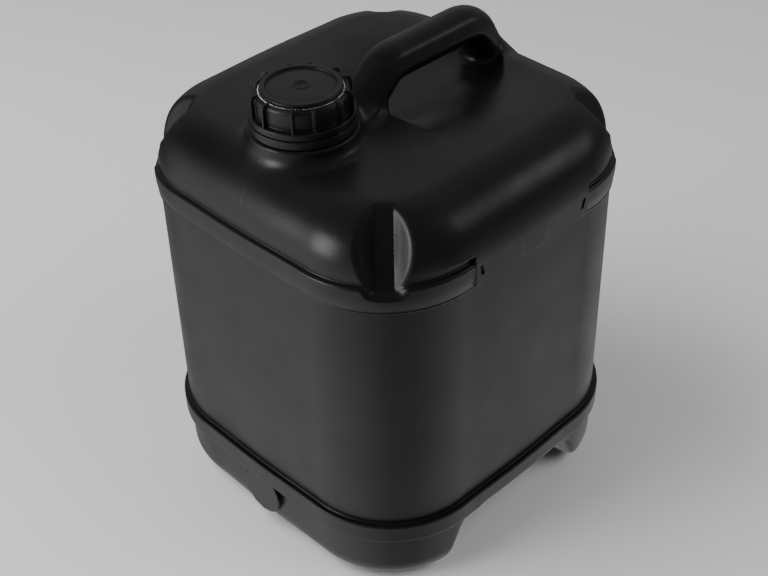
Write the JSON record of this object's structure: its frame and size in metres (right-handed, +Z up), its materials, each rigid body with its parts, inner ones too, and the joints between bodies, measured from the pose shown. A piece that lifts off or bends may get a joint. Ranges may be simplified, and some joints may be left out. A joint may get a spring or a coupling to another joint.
{
  "type": "jerry can",
  "caption": "Square stackable plastic jerry can with a hollow carrying handle on top, reinforcing bands, grooved corners and a tamper-evident screw cap.",
  "frame": {"origin": "middle of the footprint, on the surface the can stands on", "axes": "+Z up; the handle runs along Y; the neck and cap are at the -Y end"},
  "size_m": [0.291, 0.291, 0.372],
  "materials": {
    "body_plastic": "satin black polyethylene with a fine moulded grain",
    "cap_plastic": "smooth satin black polyethylene",
    "foam": "pale closed-cell polyethylene foam"
  },
  "bodies": {
    "can": {"container_body": "body_plastic"},
    "wad": {"sealing_disc": "foam"},
    "cap": {"screw_cap": "cap_plastic"},
    "ring": {"tamper_ring": "cap_plastic"}
  },
  "joints": [
    {"name": "cap_lift", "type": "slide", "parent": "can", "child": "wad", "axis": [0, 0, 1], "range_m": [0, 0.02001]},
    {"name": "cap_turn", "type": "hinge", "parent": "wad", "child": "cap", "pos_m": [0, -0.0765, 0.36], "axis": [0, 0, 1], "range_deg": [0, 1800]},
    {"name": "ring_spin", "type": "hinge", "parent": "can", "child": "ring", "pos_m": [0, -0.0765, 0.3455], "axis": [0, 0, 1], "continuous": true}
  ],
  "couplings": [
    {"joint": "cap_lift", "follows": "cap_turn", "m_per_rad": 0.00063662}
  ]
}
